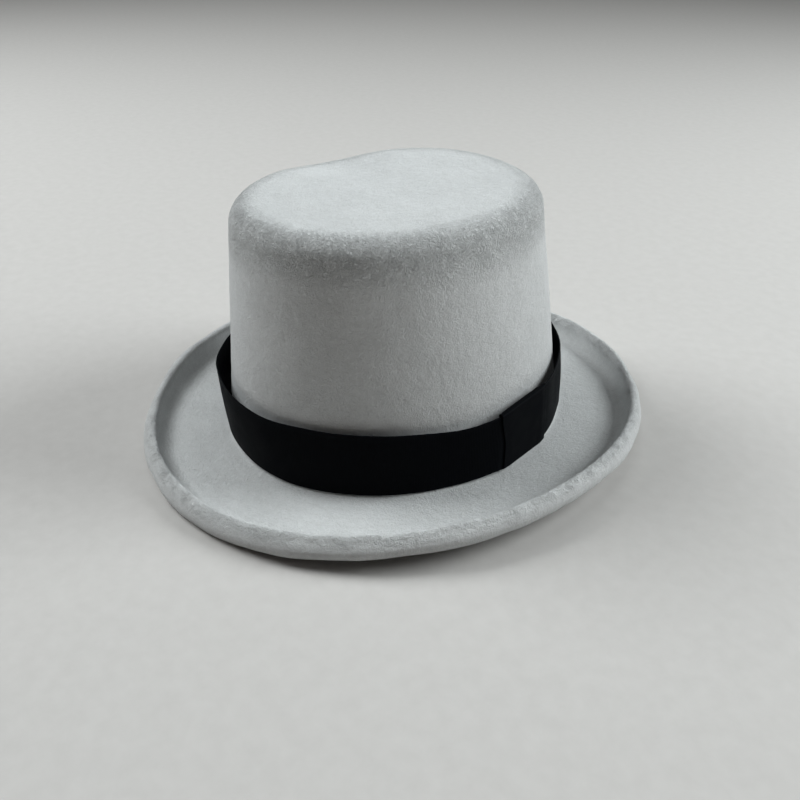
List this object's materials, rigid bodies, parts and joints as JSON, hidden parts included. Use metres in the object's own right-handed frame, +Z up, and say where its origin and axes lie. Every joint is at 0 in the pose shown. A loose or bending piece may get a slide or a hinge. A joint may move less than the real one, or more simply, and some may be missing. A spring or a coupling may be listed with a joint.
{
  "type": "felt top hat",
  "caption": "Tall hat with an oval, slightly tapered crown, a flat tip, a brim with an upturned rolled edge, and a wide dark ribbon band closed by a wrapped keeper.",
  "frame": {"origin": "on the surface that the brim stands on, below the centre of the brim", "axes": "+Z up through the crown; the front of the hat faces -Y; the wearer's left, where the keeper is, is +X"},
  "size_m": [0.2778, 0.3058, 0.1442],
  "materials": {
    "felt": "matt pressed wool felt with a short raised nap",
    "ribbon": "fine ribbed ribbon with a low sheen",
    "sweat_leather": "thin smooth leather, satin",
    "trim_tape": "narrow woven tape",
    "tab_cloth": "blank woven tab",
    "lining_satin": "light satin with soft gathers"
  },
  "bodies": {
    "hat": {"felt_body": "felt", "sweatband": "sweat_leather", "sweatband_piping": "sweat_leather", "sweatband_seam_tape": "trim_tape", "sweatband_bow": "trim_tape", "sweatband_bow_knot": "trim_tape", "size_tab": "tab_cloth", "lining_wall": "lining_satin", "lining_tip": "lining_satin"},
    "band": {"hat_band": "ribbon", "band_keeper": "ribbon"}
  },
  "joints": [
    {"name": "band_lift", "type": "slide", "parent": "hat", "child": "band", "axis": [0, 0, 1], "range_m": [0, 0.15]}
  ]
}
